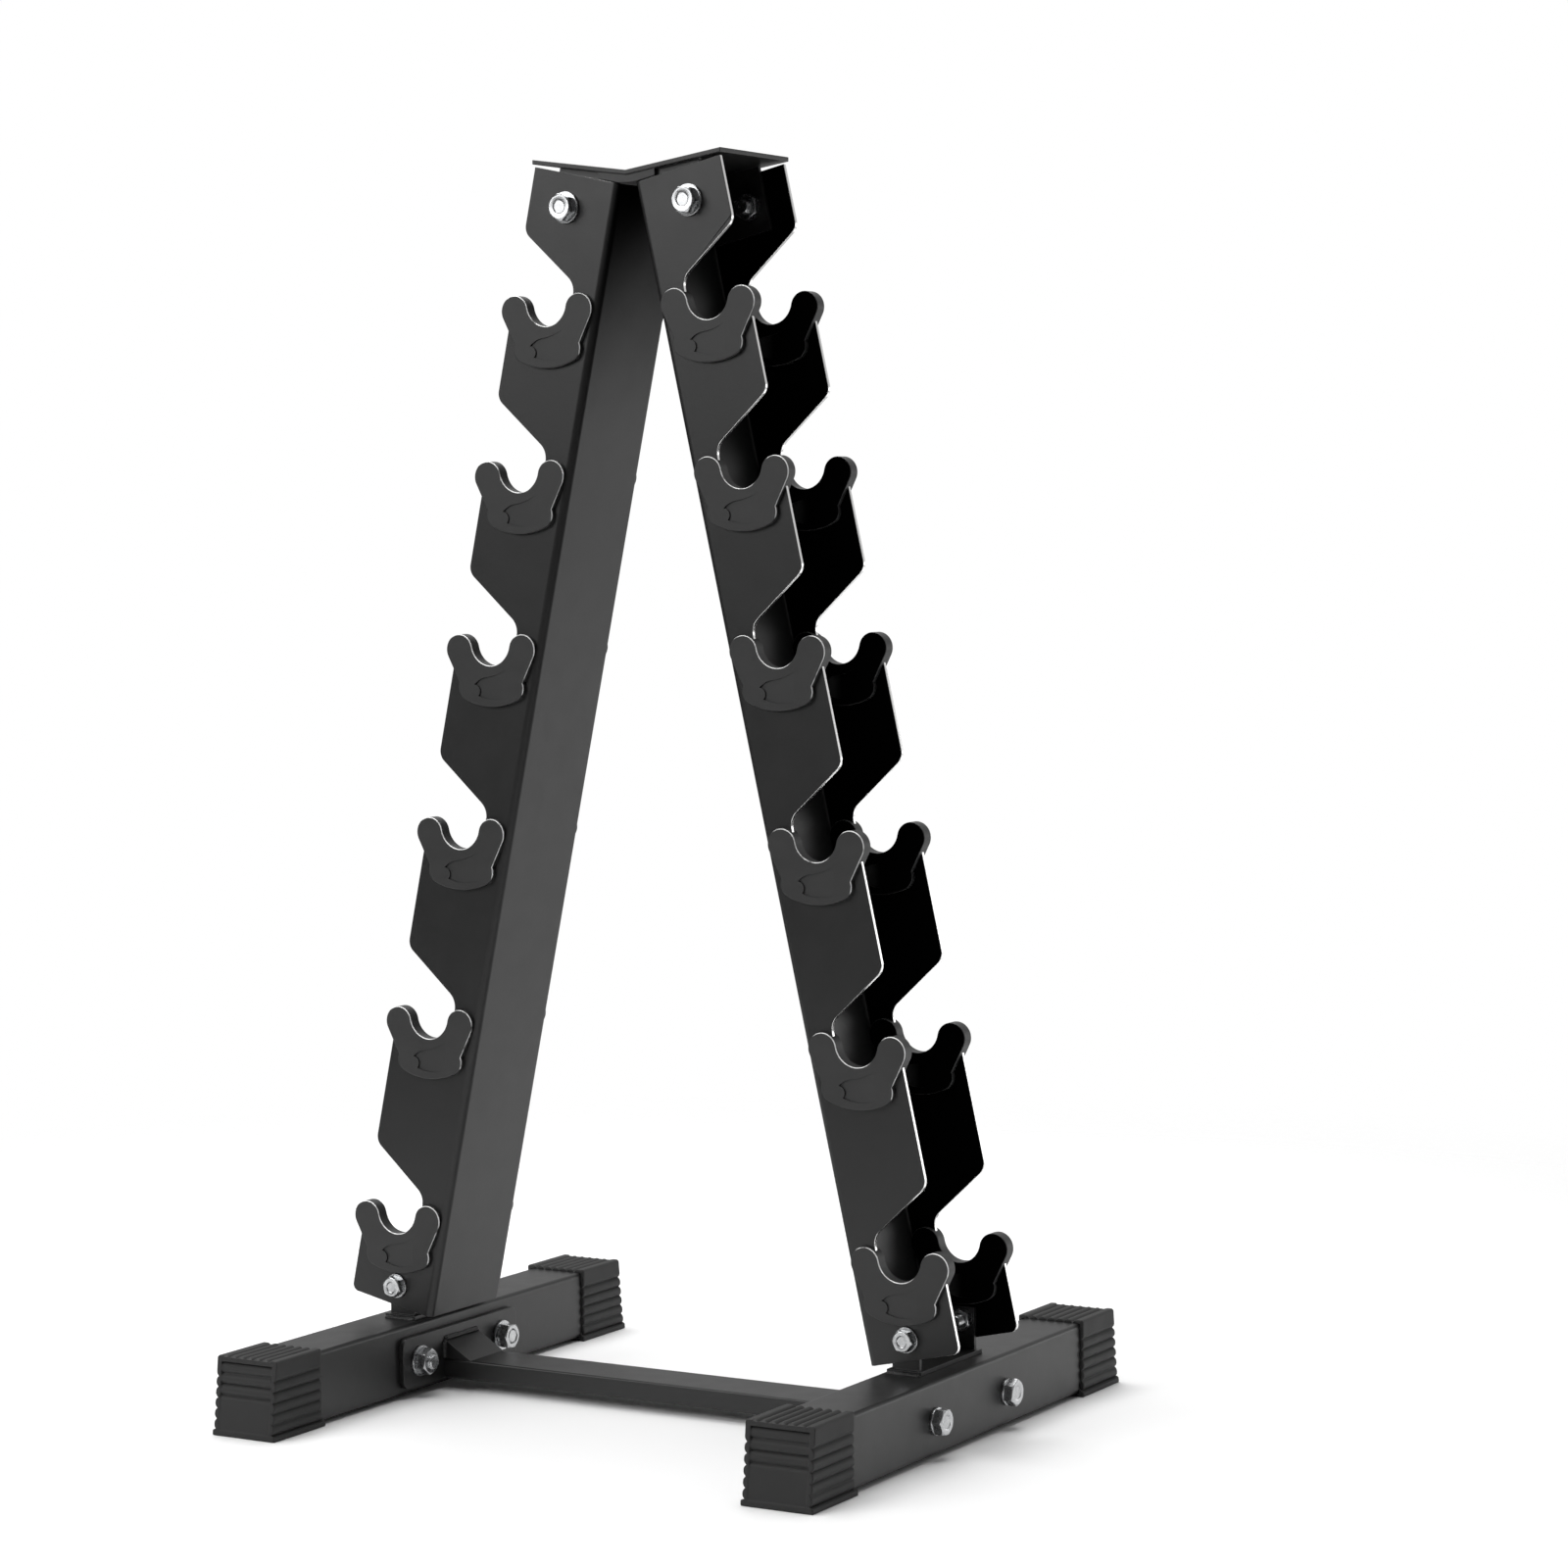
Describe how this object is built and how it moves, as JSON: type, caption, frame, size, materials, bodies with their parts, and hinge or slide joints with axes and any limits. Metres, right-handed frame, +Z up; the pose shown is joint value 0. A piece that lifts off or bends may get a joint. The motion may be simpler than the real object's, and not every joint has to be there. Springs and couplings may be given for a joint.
{
  "type": "dumbbell rack",
  "caption": "A-frame rack for pairs of dumbbells: two notched steel channel legs with moulded cradles, a V-shaped top bracket and an H-shaped tube base with ribbed rubber caps.",
  "frame": {"origin": "centre of the footprint, on the floor", "axes": "+Z up; +X across the rack, from the left leg to the right leg; the handles lie along Y, and -Y is the front"},
  "size_m": [0.4764, 0.423, 0.8375],
  "materials": {
    "powder_coat": "satin black powder coat",
    "plastic": "matte black moulded plastic",
    "rubber": "matte black rubber",
    "zinc": "bright zinc plate"
  },
  "bodies": {
    "root": {"left_leg": "powder_coat", "right_leg": "powder_coat", "top_bracket": "powder_coat", "left_foot_bracket": "powder_coat", "right_foot_bracket": "powder_coat", "left_base_tube": "powder_coat", "right_base_tube": "powder_coat", "crossbar": "powder_coat", "left_end_plate": "powder_coat", "right_end_plate": "powder_coat", "left_gusset": "powder_coat", "right_gusset": "powder_coat", "front_left_cap": "rubber", "front_left_cover_1": "plastic", "front_left_cover_2": "plastic", "front_left_cover_3": "plastic", "front_left_cover_4": "plastic", "front_left_cover_5": "plastic", "front_left_cover_6": "plastic", "front_right_cap": "rubber", "front_right_cover_1": "plastic", "front_right_cover_2": "plastic", "front_right_cover_3": "plastic", "front_right_cover_4": "plastic", "front_right_cover_5": "plastic", "front_right_cover_6": "plastic", "rear_left_cap": "rubber", "rear_left_cover_1": "plastic", "rear_left_cover_2": "plastic", "rear_left_cover_3": "plastic", "rear_left_cover_4": "plastic", "rear_left_cover_5": "plastic", "rear_left_cover_6": "plastic", "rear_right_cap": "rubber", "rear_right_cover_1": "plastic", "rear_right_cover_2": "plastic", "rear_right_cover_3": "plastic", "rear_right_cover_4": "plastic", "rear_right_cover_5": "plastic", "rear_right_cover_6": "plastic", "top_bolts": "zinc", "top_washers": "zinc", "top_nuts": "zinc", "foot_bolts": "zinc", "foot_washers": "zinc", "foot_nuts": "zinc", "crossbar_bolts": "zinc", "crossbar_washers": "zinc", "crossbar_nuts": "zinc"}
  },
  "joints": []
}
